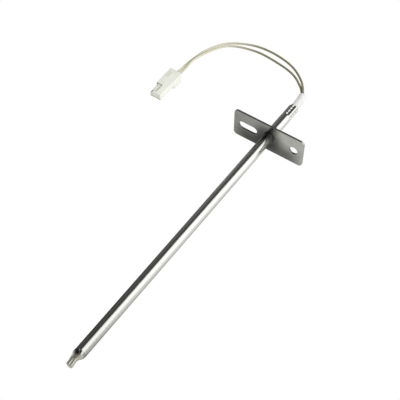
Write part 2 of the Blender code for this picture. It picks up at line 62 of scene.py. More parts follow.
ROUTE_B = (
    (-0.45, 103.35, 9.28), (-0.42, 107.0, 9.28), (-0.5, 110.2, 9.26), (-0.75, 112.9, 9.25),
    (-1.4, 115.0, 9.2), (-3.0, 117.4, 9.0), (-5.9, 121.3, 8.3), (-9.5, 125.0, 7.2),
    (-13.9, 129.2, 5.7), (-19.2, 133.1, 3.9), (-25.2, 136.1, 2.4), (-32.3, 138.4, 1.2),
    (-39.8, 139.7, 0.8), (-46.6, 140.1, 0.75), (-53.0, 139.3, 0.75), (-58.8, 137.9, 0.75),
    (-63.4, 136.1, 0.75), (-67.1, 133.8, 0.75), (-70.2, 130.5, 0.75), (-72.4, 126.7, 0.75),
    (-74.3, 122.6, 0.8), (-75.7, 118.5, 1.05), (-76.6, 114.7, 1.5), (-77.2, 111.4, 1.9),
    (-77.4, 108.0, 2.05), (-77.2, 104.4, 2.2), (-76.8, 100.6, 2.5), (-76.4, 97.0, 2.95),
    (-76.35, 94.4, 3.15), (-76.4, 92.0, 3.2), (-76.0, 89.6, 3.2), (-76.0, 87.0, 3.2),
)


# ---------------------------------------------------------------- camera

def camera():
    """Above and in front of the probe's point, looking along its wires."""
    data = bpy.data.cameras.new("camera")
    data.lens = 81.5
    data.sensor_width = 36
    data.clip_start = 0.01
    data.clip_end = 20
    obj = bpy.data.objects.new("camera", data)
    bpy.context.scene.collection.objects.link(obj)
    place = Vector((0.1672, -0.2328, 0.4014))
    ahead = Vector((-0.3506, 0.5010, -0.7913))
    right = Vector((0.8195, 0.5731, 0.0))
    up = Vector((-0.4533, 0.6485, 0.6115))
    obj.matrix_world = Matrix((
        (right.x, up.x, -ahead.x, place.x),
        (right.y, up.y, -ahead.y, place.y),
        (right.z, up.z, -ahead.z, place.z),
        (0, 0, 0, 1),
    ))
    bpy.context.scene.camera = obj


# ---------------------------------------------------------------- mesh helpers

def add_mesh(name, bm, body, finishes, sharp_deg=35):
    bmesh.ops.recalc_face_normals(bm, faces=bm.faces)
    mesh = bpy.data.meshes.new(name)
    bm.to_mesh(mesh)
    bm.free()
    for finish in finishes:
        mesh.materials.append(finish)
    mesh.shade_smooth()
    mesh.set_sharp_from_angle(angle=math.radians(sharp_deg))
    obj = bpy.data.objects.new(name, mesh)
    bpy.context.scene.collection.objects.link(obj)
    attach(obj, body)
    return obj


def ease(obj, width, segments, angle_deg):
    """Round off the edges where a piece's faces turn by more than an angle."""
    edge = obj.modifiers.new("eased edges", "BEVEL")
    edge.width = width
    edge.segments = segments
    edge.limit_method = "ANGLE"
    edge.angle_limit = math.radians(angle_deg)
    edge.harden_normals = True


def skin(bm, rings, loop=False):
    """Faces between rows of points. A row of one point is a pole, and loop joins the last row to
    the first. The UV map holds each row's number and each point's share of the turn."""
    uv = bm.loops.layers.uv.verify()
    rows = [[bm.verts.new(point) for point in ring] for ring in rings]
    order = list(range(len(rows)))
    pairs = list(zip(order, order[1:])) + ([(order[-1], 0)] if loop else [])
    for near, far in pairs:
        a, b = rows[near], rows[far]
        count = max(len(a), len(b))
        for k in range(count):
            after = (k + 1) % count
            corners = []
            if len(a) > 1:
                corners += [(a[after], near, k + 1), (a[k], near, k)]
            else:
                corners += [(a[0], near, k)]
            if len(b) > 1:
                corners += [(b[k], far, k), (b[after], far, k + 1)]
            else:
                corners += [(b[0], far, k)]
            face = bm.faces.new([corner[0] for corner in corners])
            for corner, (_, row, turn) in zip(face.loops, corners):
                corner[uv].uv = (row, turn / count)


def round_ring(y, radius, sides, middle=(0.0, 0.0), press=None):
    if radius == 0:
        return [(middle[0], y, middle[1])]
    points = []
    for k in range(sides):
        angle = TURN * k / sides
        r = radius - (press(angle, y) if press else 0.0)
        points.append((middle[0] + r * math.sin(angle), y, middle[1] + r * math.cos(angle)))
    return points


def span(start, end, steps):
    return [start + (end - start) * k / steps for k in range(steps + 1)]


def smooth(share):
    share = min(1.0, max(0.0, share))
    return share * share * (3 - 2 * share)


def arc(centre, radius, start_deg, end_deg, steps):
    angles = [math.radians(a) for a in span(start_deg, end_deg, steps)]
    return [(centre[0] + radius * math.cos(a), centre[1] + radius * math.sin(a)) for a in angles]


def smooth_curve(points, steps):
    """Points on a smooth curve through the given ones, its ends held straight."""
    knots = [Vector(point) for point in points]
    knots = [2 * knots[0] - knots[1]] + knots + [2 * knots[-1] - knots[-2]]
    dense = []
    for a, b, c, d in zip(knots, knots[1:], knots[2:], knots[3:]):
        for k in range(steps):
            t = k / steps
            dense.append(
                0.5 * ((2 * b) + (c - a) * t + (2 * a - 5 * b + 4 * c - d) * t**2
                       + (3 * b - a - 3 * c + d) * t**3)
            )
    return dense + [knots[-2]]


def evenly_spaced(points, spacing):
    lengths = [0.0]
    for before, after in zip(points, points[1:]):
        lengths.append(lengths[-1] + (after - before).length)
    count = max(2, round(lengths[-1] / spacing))
    spaced, at = [], 0
    for k in range(count + 1):
        target = lengths[-1] * k / count
        while at < len(points) - 2 and lengths[at + 1] < target:
            at += 1
        share = (target - lengths[at]) / (lengths[at + 1] - lengths[at])
        spaced.append(points[at].lerp(points[at + 1], min(1.0, share)))
    return spaced


# ---------------------------------------------------------------- finishes

# How far a noise is drawn out into patches
CLOUD = (0.35, 0.65, 0, 1)

# Where the plate's painted reflection and shade change: across it, up it, towards its ends and
# round the tube; and the range of its real marks
PLATE_SIDES = (-6 * MM, 6 * MM)
PLATE_RISE = (3 * MM, 15 * MM)
PLATE_ENDS = (12 * MM, 23.3 * MM)
PLATE_SHADE_POOL = (4.5 * MM, 12.5 * MM)
PLATE_MARKS = (0.7, 1.3)


def node(tree, kind, values=None, **settings):
    """A shader node. A value that is a socket is linked, and any other is set."""
    made = tree.nodes.new("ShaderNode" + kind)
    for name, value in settings.items():
        setattr(made, name, value)
    for key, value in (values or {}).items():
        if isinstance(value, bpy.types.NodeSocket):
            tree.links.new(value, made.inputs[key])
        else:
            made.inputs[key].default_value = value
    return made


def finish(name, metallic, roughness, **more):
    """A material, its node tree and its shader, with the values that are the same all over."""
    made = bpy.data.materials.new(name)
    made.use_nodes = True
    tree = made.node_tree
    shader = tree.nodes["Principled BSDF"]
    shader.inputs["Metallic"].default_value = metallic
    shader.inputs["Roughness"].default_value = roughness
    for key, value in more.items():
        shader.inputs[key.replace("_", " ")].default_value = value
    return made, tree, shader


def grain(tree, scale, detail=3.0, rough=0.55, source="Object"):
    """Noise on the piece's own coordinates, with a scale for each axis in cycles a metre."""
    coords = node(tree, "TexCoord").outputs[source]
    spread = node(tree, "Mapping", {"Vector": coords, "Scale": scale}).outputs["Vector"]
    return node(
        tree, "TexNoise", {"Vector": spread, "Scale": 1.0, "Detail": detail, "Roughness": rough}
    ).outputs["Fac"]


def ranged(tree, value, low, high, to_low, to_high, kind="SMOOTHSTEP"):
    """A number carried from one range to another, eased at both ends unless kind says LINEAR."""
    return node(
        tree, "MapRange",
        {"Value": value, "From Min": low, "From Max": high, "To Min": to_low, "To Max": to_high},
        interpolation_type=kind,
    ).outputs["Result"]


def calc(tree, a, b, operation="ADD"):
    return node(tree, "Math", {0: a, 1: b}, operation=operation).outputs[0]


def times(tree, a, b):
    return calc(tree, a, b, "MULTIPLY")


def between(tree, share, a, b):
    """A number between two others."""
    return node(tree, "Mix", {"Factor": share, "A": a, "B": b}).outputs["Result"]


def separate(tree, coords):
    """The X, Y and Z of a kind of texture coordinate."""
    place = node(tree, "SeparateXYZ", {0: node(tree, "TexCoord").outputs[coords]})
    return [place.outputs[axis] for axis in "XYZ"]


def blended(tree, share, dark, light):
    mixed = node(tree, "Mix", {"Factor": share}, data_type="RGBA")
    for key, value in (("A", dark), ("B", light)):
        socket = [s for s in mixed.inputs if s.name == key and s.type == "RGBA"][0]
        if isinstance(value, bpy.types.NodeSocket):
            tree.links.new(value, socket)
        else:
            socket.default_value = (*value, 1.0)
    return [s for s in mixed.outputs if s.type == "RGBA"][0]


def dimmed(tree, colour, factor):
    """A colour times a number that changes over the surface."""
    grey = node(tree, "CombineColor", {"Red": factor, "Green": factor, "Blue": factor}).outputs[0]
    mixed = node(tree, "Mix", {"Factor": 1.0}, data_type="RGBA", blend_type="MULTIPLY")
    tree.links.new(colour, [s for s in mixed.inputs if s.name == "A" and s.type == "RGBA"][0])
    tree.links.new(grey, [s for s in mixed.inputs if s.name == "B" and s.type == "RGBA"][0])
    return [s for s in mixed.outputs if s.type == "RGBA"][0]


def bump(tree, shader, height, distance, strength=1.0):
    made = node(tree, "Bump", {"Height": height, "Distance": distance, "Strength": strength})
    tree.links.new(made.outputs["Normal"], shader.inputs["Normal"])


def colour(tree, shader, share, dark, light):
    tree.links.new(blended(tree, share, dark, light), shader.inputs["Base Color"])


def polished_steel():
    """Drawn stainless tube: bright, with fine polishing rings and faint streaks. Its swaged point
    is duller and straw-coloured, and a spot of painted shade darkens the crease of its top fold."""
    made, tree, shader = finish("polished_stainless_tube", 1.0, 0.13)
    rings = grain(tree, (90, 2600, 90), 4.0)
    streaks = grain(tree, (1700, 25, 1700), 3.0)
    marks = calc(tree, rings, times(tree, streaks, 0.8))
    steel = blended(tree, marks, (0.565, 0.56, 0.525), (0.765, 0.76, 0.72))
    cloud = ranged(tree, grain(tree, (420, 260, 420), 3.0), *CLOUD)
    straw = blended(tree, cloud, (0.54, 0.54, 0.46), (0.7, 0.69, 0.59))
    place = node(tree, "TexCoord").outputs["Object"]
    y = node(tree, "SeparateXYZ", {0: place}).outputs["Y"]
    point = ranged(tree, y, *POINT_Y, 1.0, 0.0)
    # A spot of painted shade darkens the crease of the point's top fold
    away = node(tree, "VectorMath", {0: place, 1: CREASE_SHADE_MIDDLE}, operation="DISTANCE").outputs["Value"]
    painted_crease_shade = ranged(tree, away, *CREASE_SHADE_REACH, 0.2, 1.0)
    tone = dimmed(tree, blended(tree, point, steel, straw), painted_crease_shade)
    tree.links.new(tone, shader.inputs["Base Color"])
    tree.links.new(ranged(tree, point, 0.0, 1.0, 1.0, 0.85, "LINEAR"), shader.inputs["Metallic"])
    fine = ranged(tree, marks, 0.6, 1.2, 0.08, 0.2, "LINEAR")
    tree.links.new(between(tree, point, fine, 0.34), shader.inputs["Roughness"])
    bump(tree, shader, marks, 0.00003)
    return made


def sheet_steel():
    """Cold-rolled plate: fine lines along its length, with painted reflection and shade that make
    it darker low down, to its left and round the tube."""
    made, tree, shader = finish("rolled_steel_plate", 1.0, 0.2)
    lines = grain(tree, (70, 2500, 2500), 5.0, 0.6)
    marks = calc(tree, lines, grain(tree, (160, 160, 260), 3.0))
    patches = ranged(tree, marks, *PLATE_MARKS, 0, 1)
    tint = blended(tree, patches, (0.47, 0.48, 0.435), (0.58, 0.59, 0.54))
    x, _, z = separate(tree, "Object")
    # Painted reflection and shade: darker low down and to the left, lighter up the plate, to the
    # right and towards its ends
    low = ranged(tree, x, *PLATE_SIDES, 0.2, 0.35)
    high = ranged(tree, x, *PLATE_SIDES, 0.78, 1.16)
    shade = between(tree, ranged(tree, z, *PLATE_RISE, 0, 1), low, high)
    ends = ranged(tree, calc(tree, x, 0.0, "ABSOLUTE"), *PLATE_ENDS, 0, 1, "LINEAR")
    tips = ranged(tree, x, *PLATE_SIDES, 0.7, 1.2)
    shade = between(tree, calc(tree, ends, 2.2, "POWER"), shade, tips)
    # A pool of painted shade round the tube, for the tube's reflection and shadow on the plate
    middle = node(tree, "CombineXYZ", {"X": x, "Z": calc(tree, z, -AXIS_Z)}).outputs[0]
    away = node(tree, "VectorMath", {0: middle}, operation="LENGTH").outputs["Value"]
    shade = times(tree, shade, ranged(tree, away, *PLATE_SHADE_POOL, 0.3, 1.0))
    tree.links.new(dimmed(tree, tint, shade), shader.inputs["Base Color"])
    rough = ranged(tree, marks, *PLATE_MARKS, 0.16, 0.3, "LINEAR")
    tree.links.new(rough, shader.inputs["Roughness"])
    bump(tree, shader, lines, 0.000025)
    return made


def sheared_steel():
    """The plate's cut outline: rougher than its faces, with marks across its thickness."""
    made, tree, shader = finish("sheared_steel_edge", 1.0, 0.36)
    marks = grain(tree, (2200, 200, 2200), 4.0)
    colour(tree, shader, marks, (0.36, 0.37, 0.35), (0.6, 0.61, 0.58))
    bump(tree, shader, marks, 0.00004)
    return made


def punched_steel():
    """The walls of the punched slot and hole: dull and dark."""
    made, tree, shader = finish("punched_steel_wall", 1.0, 0.6)
    marks = grain(tree, (900, 900, 900), 3.0)
    colour(tree, shader, marks, (0.2, 0.2, 0.19), (0.34, 0.35, 0.33))
    bump(tree, shader, marks, 0.00002)
    return made


def painted_dark_collar_steel():
    """The collar: near black all over, a painted dark reflection and shade."""
    made, tree, shader = finish("collar_steel_painted_dark", 1.0, 0.4)
    cloud = grain(tree, (300, 400, 300), 3.0)
    # A near-black colour that paints the collar's dark reflection and shade
    colour(tree, shader, ranged(tree, cloud, *CLOUD), (0.08, 0.08, 0.075), (0.13, 0.13, 0.12))
    bump(tree, shader, cloud, 0.00002)
    return made


def plated(name, dark, light, roughness):
    """A small plated metal piece with faint drawing marks."""
    made, tree, shader = finish(name, 1.0, roughness)
    marks = grain(tree, (2600, 300, 2600), 3.0)
    colour(tree, shader, marks, dark, light)
    bump(tree, shader, marks, 0.00002)
    return made


def fired_ceramic():
    made, tree, shader = finish("fired_ceramic", 0.0, 0.6)
    pores = grain(tree, (2400, 2400, 2400), 5.0, 0.7)
    colour(tree, shader, ranged(tree, pores, 0.4, 0.6, 0, 1), (0.78, 0.75, 0.67), (0.9, 0.88, 0.82))
    bump(tree, shader, pores, 0.00005)
    return made


def woven_sleeving():
    """White sleeve: a smooth coat over a fine weave, with a faint painted glow."""
    made, tree, shader = finish("white_sleeving_coat", 0.0, 0.45)
    # A painted glow: the sleeving gives off a little light of its own
    shader.inputs["Emission Color"].default_value = (1.0, 1.0, 0.98, 1.0)
    shader.inputs["Emission Strength"].default_value = 0.24
    weave = grain(tree, (1500, 1500, 1500), 2.0)
    cloud = ranged(tree, grain(tree, (260, 260, 260), 3.0), *CLOUD)
    colour(tree, shader, cloud, (0.56, 0.56, 0.545), (0.64, 0.64, 0.625))
    bump(tree, shader, weave, 0.00002)
    return made


def glass_braid():
    """Lacquered glass-fibre braid: crossed threads, darker and browner towards the tube and paler
    by the connector."""
    made, tree, shader = finish("glass_braid", 0.0, 0.55, Sheen_Weight=0.15)
    row, turn, _ = separate(tree, "UV")
    along = times(tree, row, BRAID_ROW_TURN)
    around = times(tree, turn, TURN * BRAID_STARTS)
    one = node(tree, "Math", {0: calc(tree, along, around)}, operation="SINE").outputs[0]
    two = calc(tree, along, around, "SUBTRACT")
    two = node(tree, "Math", {0: two}, operation="SINE").outputs[0]
    raised = calc(tree, times(tree, one, two), 0.0, "ABSOLUTE")
    cloud = ranged(tree, grain(tree, (180, 180, 180), 2.0), *CLOUD)
    weave = ranged(tree, raised, 0.05, 0.5, 0, 1)
    brown_threads = blended(tree, cloud, (0.31, 0.3, 0.155), (0.39, 0.38, 0.21))
    pale_threads = blended(tree, cloud, (0.76, 0.75, 0.55), (0.84, 0.83, 0.64))
    darker_braid = blended(tree, weave, (0.235, 0.225, 0.105), brown_threads)
    pale = blended(tree, weave, (0.62, 0.61, 0.41), pale_threads)
    x, _, _ = separate(tree, "Object")
    tone = blended(tree, ranged(tree, x, *BRAID_DARKER_X, 1, 0), darker_braid, pale)
    tree.links.new(tone, shader.inputs["Base Color"])
    bump(tree, shader, raised, 0.00003)
    return made


def glass_fibre_plain():
    """The wires' braid inside the tube, where only its colour and grain matter."""
    made, tree, shader = finish("glass_fibre_inside", 0.0, 0.7)
    threads = grain(tree, (1800, 600, 1800), 3.0)
    colour(tree, shader, threads, (0.36, 0.34, 0.18), (0.76, 0.74, 0.52))
    bump(tree, shader, threads, 0.00005)
    return made


def nylon(name, deep, pale, glow=0.15):
    """Natural nylon: milky, slightly green, with soft flow marks and a glow for the light that
    passes through it."""
    made, tree, shader = finish(name, 0.0, 0.42, IOR=1.53)
    shader.inputs["Emission Color"].default_value = (*pale, 1.0)
    shader.inputs["Emission Strength"].default_value = glow
    cloud = ranged(tree, grain(tree, (130, 70, 170), 2.0), *CLOUD)
    flow = grain(tree, (420, 80, 420), 2.0)
    colour(tree, shader, cloud, deep, pale)
    tree.links.new(ranged(tree, flow, 0.3, 0.7, 0.34, 0.46, "LINEAR"), shader.inputs["Roughness"])
    bump(tree, shader, flow, 0.00002)
    return made


# ---------------------------------------------------------------- the sheathed tube

AXIS_Z = 10.0 * MM
TUBE_R = 3.175 * MM
TUBE_BORE_R = 2.675 * MM
TIP_Y, REAR_Y = -103.2 * MM, 103.2 * MM
NECK_R = 1.85 * MM
NECK_LENGTH = 4.3 * MM
TAPER_LENGTH = 3.2 * MM
FLUTES = 3
FLUTE_DEPTH = 1.3 * MM
FLUTE_TWIST = math.radians(20)
FLUTE_FULL = 7.3 * MM
FLUTE_LENGTH = 9.4 * MM
FLUTE_TURN = math.radians(-4)
TIP_SHIFT = 0.5 * MM
TIP_SHIFT_TURN = math.radians(-66)
DENTS = 6
DENT_DEPTH = 0.54 * MM
DENT_TURN = math.radians(11)
DENT_PITCH = 2.4 * MM
DENT_ROWS = 4
DENT_TEETH = 0.28
DENT_RUN_IN = 1.2 * MM
TUBE_SIDES = 108
POINT_Y = (-97.4 * MM, -95.4 * MM)
# The spot of painted shade on the crease of the point's top fold: its middle and its reach
CREASE_SHADE_MIDDLE = (-1.0 * MM, -95.8 * MM, 12.5 * MM)
CREASE_SHADE_REACH = (0.8 * MM, 2.0 * MM)
BORE_START = 10 * MM
BORE_FLOOR = 7 * MM
BORE_FLOOR_R = 0.6 * MM


def flute(angle, y):
    """Folds of the swaged point, with a slight twist towards its end."""
    fade = 1.0 - smooth((y - TIP_Y - FLUTE_FULL) / (FLUTE_LENGTH - FLUTE_FULL))
    back = smooth((y - TIP_Y) / FLUTE_FULL)
    turn = FLUTE_TURN + FLUTE_TWIST * (1 - back)
    groove = max(0.0, math.cos(FLUTES * (angle - turn) / 2)) ** 4
    return FLUTE_DEPTH * fade * (0.35 + 0.65 * back) * groove


def dent(angle, y):
    """Six long crimp grooves to the open end, each ribbed by the tool's teeth."""
    along = REAR_Y - y
    run_in = smooth((DENT_ROWS * DENT_PITCH - along) / DENT_RUN_IN)
    rib = DENT_TEETH * math.cos(math.pi * along / DENT_PITCH) ** 4
    return DENT_DEPTH * run_in * (1 - rib) * (0.5 + 0.5 * math.cos(DENTS * (angle - DENT_TURN)))


def ridge_radius(y):
    share = (y - TIP_Y - NECK_LENGTH) / TAPER_LENGTH
    share = min(1.0, max(0.0, share))
    return NECK_R + (TUBE_R - NECK_R) * (0.35 * share + 0.65 * smooth(share))


def tip_middle(y):
    """Where the swaged point's middle lies: it was pressed a little to one side."""
    into = smooth((TIP_Y + FLUTE_LENGTH - y) / (0.5 * FLUTE_LENGTH))
    shift = TIP_SHIFT * into * (0.2 + 0.8 * smooth((y - TIP_Y) / (0.5 * FLUTE_LENGTH)))
    return shift * math.sin(TIP_SHIFT_TURN), AXIS_Z + shift * math.cos(TIP_SHIFT_TURN)


def sheath():
    """The tube from its closed, folded point to its crimped rear end, and back down its bore."""
    end_round, lip = 0.3 * MM, 0.12 * MM
    axis = (0.0, AXIS_Z)

    def ring(y, radius, middle=axis, press=None):
        return round_ring(y, radius, TUBE_SIDES, middle, press)

    rings = [
        ring(TIP_Y + 0.05 * MM, 0, tip_middle(TIP_Y)),
        ring(TIP_Y + 0.03 * MM, NECK_R * 0.4, tip_middle(TIP_Y)),
    ]
    for a in span(0, math.pi / 2, 4):
        y = TIP_Y + end_round * (1 - math.cos(a))
        rings.append(ring(y, NECK_R - end_round * (1 - math.sin(a)), tip_middle(y), flute))
    for y in span(TIP_Y + 2 * end_round, TIP_Y + FLUTE_LENGTH, 44):
        rings.append(ring(y, ridge_radius(y), tip_middle(y), flute))
    crimp_start = REAR_Y - DENT_ROWS * DENT_PITCH
    plain = span(TIP_Y + FLUTE_LENGTH + 1 * MM, crimp_start - 1 * MM, 12)
    rings += [ring(y, TUBE_R) for y in plain]
    crimped = span(crimp_start, REAR_Y - lip, 66)
    rings += [ring(y, TUBE_R, press=dent) for y in crimped]
    rings += [ring(REAR_Y, radius, press=dent) for radius in (TUBE_R - lip, TUBE_BORE_R + lip)]
    rings += [ring(y, TUBE_BORE_R, press=dent) for y in reversed(crimped)]
    rings += [
        ring(TIP_Y + BORE_START, TUBE_BORE_R),
        ring(TIP_Y + BORE_FLOOR, BORE_FLOOR_R),
        ring(TIP_Y + BORE_FLOOR, 0),
    ]
    bm = bmesh.new()
    skin(bm, rings)
    tube = add_mesh("sheath_tube", bm, "probe", [polished_steel()], 50)
    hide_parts("probe_sheath")


# ---------------------------------------------------------------- flange and collar

FLANGE_CORNER_R = 2.4 * MM
HOLE_R = 2.7 * MM
HOLE_X = 17.1 * MM
SLOT_X = -13.75 * MM
SLOT_LENGTH = 12.6 * MM


def flange():
    """The plate, with its round hole, its slot and the tube's hole."""
    low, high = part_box("mounting_flange")
    width, height = high.x - low.x, high.z - low.z
    outline = []
    for quarter, (sx, sz) in enumerate(((1, 1), (-1, 1), (-1, -1), (1, -1))):
        centre = (sx * (width / 2 - FLANGE_CORNER_R), sz * (height / 2 - FLANGE_CORNER_R))
        outline += arc(centre, FLANGE_CORNER_R, 90 * quarter, 90 * quarter + 90, 10)
    half = SLOT_LENGTH / 2 - HOLE_R
    openings = [
        arc((0, 0), TUBE_R + 0.02 * MM, 0, 360, 72)[:-1],
        arc((HOLE_X, 0), HOLE_R, 0, 360, 48)[:-1],
        arc((SLOT_X + half, 0), HOLE_R, -90, 90, 20) + arc((SLOT_X - half, 0), HOLE_R, 90, 270, 20),
    ]
    bm = bmesh.new()
    edges = []
    for loop in [outline] + openings:
        verts = [bm.verts.new((x, low.y, z + AXIS_Z)) for x, z in loop]
        edges += [bm.edges.new((verts[k - 1], verts[k])) for k in range(len(verts))]
    filled = bmesh.ops.triangle_fill(bm, use_beauty=True, edges=edges)
    faces = [item for item in filled["geom"] if isinstance(item, bmesh.types.BMFace)]
    extruded = bmesh.ops.extrude_face_region(bm, geom=faces, use_keep_orig=True)
    moved = [item for item in extruded["geom"] if isinstance(item, bmesh.types.BMVert)]
    bmesh.ops.translate(bm, vec=(0, high.y - low.y, 0), verts=moved)
    bmesh.ops.recalc_face_normals(bm, faces=bm.faces)
    for face in bm.faces:
        x, _, z = face.calc_center_median()
        outside = abs(x) > width / 2 - 2.5 * MM or abs(z - AXIS_Z) > height / 2 - 1 * MM
        face.material_index = 0 if abs(face.normal.y) > 0.5 else 1 if outside else 2
    finishes = [sheet_steel(), sheared_steel(), punched_steel()]
    plate = add_mesh("flange_plate", bm, "probe", finishes, 30)
    ease(plate, 0.16 * MM, 3, 50)
    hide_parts("mounting_flange")


def collar():
    """The ring on the tube at the plate's front face, with a fillet against the plate."""
    low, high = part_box("flange_collar")
    plate_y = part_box("mounting_flange")[0].y
    radius = (high.x - low.x) / 2
    inner = TUBE_R + 0.01 * MM
    shoulder, fillet = 0.2 * MM, 0.35 * MM
    rise = radius - shoulder - inner
    profile = [(plate_y - 0.02 * MM, inner), (low.y, inner)]
    profile += [(low.y + shoulder * (1 - math.cos(a)), inner + 0.06 * MM + rise * math.sin(a))
                for a in span(0, math.pi / 2, 5)]
    profile += [(low.y + 0.45 * MM, radius), (plate_y - fillet, radius)]
    profile += [(plate_y - fillet * math.cos(a), radius + fillet * (1 - math.sin(a + math.pi / 2)))
                for a in span(0.2, math.pi / 2, 5)]
    rings = [[(x, y, z + AXIS_Z) for x, y, z in round_ring(y, r, 96)] for y, r in profile]
    bm = bmesh.new()
    skin(bm, rings, loop=True)
    ring = add_mesh("brazed_collar", bm, "probe", [painted_dark_collar_steel()], 50)
    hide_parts("flange_collar")


# ---------------------------------------------------------------- sleeve and wires

SLEEVE_OUTSIDE = 11.8 * MM
SLEEVE_INSIDE = 20 * MM
SLEEVE_BEND = 0.9 * MM
SLEEVE_R = 2.0 * MM
SLEEVE_BORE_R = 1.7 * MM
SLEEVE_SIDES = 48


def sleeve_ring(y, radius, ripple=0.0):
    """A ring of the sleeve, square to its gentle bend, with its radius rippled by noise."""
    share = max(0.0, (y - REAR_Y) / SLEEVE_OUTSIDE)
    centre = -SLEEVE_BEND * share**3
    slope = -3 * SLEEVE_BEND * share**2 / SLEEVE_OUTSIDE
    points = []
    for k in range(SLEEVE_SIDES):
        angle = TURN * k / SLEEVE_SIDES
        spot = Vector((math.cos(angle), math.sin(angle), y / (2.2 * MM))) * 1.3
        r = radius + ripple * noise.noise(spot)
        x, z = centre + r * math.sin(angle), r * math.cos(angle)
        points.append((x, y - slope * (x - centre), z + AXIS_Z))
    return points


def sleeve():
    """Narrow in the tube, belled just outside it, with a soft rolled mouth."""
    start, shoulder = REAR_Y - SLEEVE_INSIDE, REAR_Y + 0.35 * MM
    rim = REAR_Y + SLEEVE_OUTSIDE - 0.2 * MM
    ripple, wall = 0.07 * MM, 0.24 * MM
    rings = [sleeve_ring(start, SLEEVE_R), sleeve_ring(shoulder - 0.3 * MM, SLEEVE_R)]
    for share in span(0, 1, 26):
        y = shoulder + (rim - shoulder) * share
        bell = smooth((y - shoulder) / (1.0 * MM))
        radius = 2.02 * MM + 0.4 * MM * bell - 0.12 * MM * share**2
        rings.append(sleeve_ring(y, radius, ripple * bell))
    for a in span(0, math.pi, 6)[1:]:
        y = rim + wall * 0.8 * math.sin(a)
        rings.append(sleeve_ring(y, 2.06 * MM + wall * math.cos(a), ripple))
    for share in span(0.95, 0, 14):
        y = shoulder + (rim - shoulder) * share
        rings.append(sleeve_ring(y, 1.86 * MM - 0.04 * MM * share**2))
    rings += [sleeve_ring(shoulder - 0.3 * MM, SLEEVE_BORE_R), sleeve_ring(start, SLEEVE_BORE_R)]
    bm = bmesh.new()
    skin(bm, rings, loop=True)
    piece = add_mesh("lead_sleeve", bm, "probe", [woven_sleeving()], 60)
    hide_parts("exit_sleeve")
    return piece


WIRE_R = 0.7 * MM
WIRE_STEP = 0.32 * MM
WIRE_SIDES = 24
BRAID_STARTS = 3
BRAID_PITCH = 2.6 * MM
BRAID_RELIEF = 0.025 * MM
BRAID_DARKER_X = (-72 * MM, -44 * MM)
BRAID_ROW_TURN = TURN * BRAID_STARTS * WIRE_STEP / BRAID_PITCH / 1.5


def braided_wire(letter, route, finish_of_wire):
    """A wire in its braid, along its route, with the crossed threads raised from its surface."""
    path = evenly_spaced(smooth_curve([Vector(point) * MM for point in route], 12), WIRE_STEP)
    length = sum((b - a).length for a, b in zip(path, path[1:]))
    side = Vector((0, 0, 1))
    rings = []
    for row, point in enumerate(path):
        ahead = (path[min(row + 1, len(path) - 1)] - path[max(row - 1, 0)]).normalized()
        side = (side - ahead * side.dot(ahead)).normalized()
        other = ahead.cross(side)
        ring = []
        for k in range(WIRE_SIDES):
            around = TURN * k / WIRE_SIDES
            one = math.sin(BRAID_ROW_TURN * row + BRAID_STARTS * around)
            two = math.sin(BRAID_ROW_TURN * row - BRAID_STARTS * around)
            r = WIRE_R - BRAID_RELIEF + BRAID_RELIEF * abs(one * two)
            ring.append(point + side * r * math.cos(around) + other * r * math.sin(around))
        rings.append(ring)
    rings = [[path[0]]] + rings + [[path[-1]]]
    bm = bmesh.new()
    skin(bm, rings)
    wire = add_mesh(f"braided_wire_{letter}", bm, "probe", [finish_of_wire], 80)
    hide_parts(f"lead_wire_{letter}")
    return wire, path, length


# ---------------------------------------------------------------- connector

CONNECTOR = Vector((-77.8, 69.3, 0.0)) * MM

# The rest of the connector's sizes are in its own millimetres, from the bottom of its front face
NOSE_SIDE = 4.2
NOSE_LENGTH, BODY_END = 13.7, 23.0
NOSE_BOTTOM, NOSE_TOP = 1.8, 6.2
KEY_X, KEY_END, CHAMFER = -3.4, 7.6, 1.9
KEY_SIDE, KEY_FOOT = -5.2, 0.8
CAVITY_X, CAVITY_SIDE = 1.8, 1.2
CAVITY_BOTTOM, CAVITY_TOP = 2.15, 4.25
LIP_TOP = 2.5
RECESS = ((-6.2, 1.2, 4.95), (0.3, 7.9, 8.2))
PANEL = ((-6.0, 15.2, 6.1), (-1.3, 20.4, 8.0))

# How near to its opening's own sides a face still counts as part of it
NEAR, LEVEL = 0.1, 0.05

# The housing's nylons, in the order of their slots: the shell's own, and copies of it with painted
# shade (panel, shaded edges, recess) or a stronger painted glow (cavities)
SHELL, PANELLED, SHADED, INSIDE, RECESSED = range(5)


def block(low, high, bevel=0.0, segments=3):
    """A box between two corners in the connector's own millimetres, loose for a Boolean."""
    bm = bmesh.new()
    bmesh.ops.create_cube(bm, size=1.0)
    size = [b - a for a, b in zip(low, high)]
    middle = [(a + b) / 2 for a, b in zip(low, high)]
    bmesh.ops.scale(bm, vec=size, verts=bm.verts)
    bmesh.ops.translate(bm, vec=middle, verts=bm.verts)
    if bevel:
        bmesh.ops.bevel(
            bm, geom=bm.edges, offset=bevel, segments=segments, profile=0.5, affect="EDGES",
        )
    return loose(bm)


def prism(outline, near, far, along=1):
    """A prism between two places on one axis, from an outline in the other two."""
    bm = bmesh.new()
    ends = []
    for place in (near, far):
        ends.append([bm.verts.new([*p[:along], place, *p[along:]]) for p in outline])
    bm.faces.new(ends[0])
    bm.faces.new(list(reversed(ends[1])))
    for k in range(len(outline)):
        after = (k + 1) % len(outline)
        bm.faces.new((ends[0][k], ends[1][k], ends[1][after], ends[0][after]))
    return loose(bm)


def loose(bm):
    bmesh.ops.recalc_face_normals(bm, faces=bm.faces)
    mesh = bpy.data.meshes.new("block")
    bm.to_mesh(mesh)
    bm.free()
    obj = bpy.data.objects.new("block", mesh)
    bpy.context.scene.collection.objects.link(obj)
    return obj


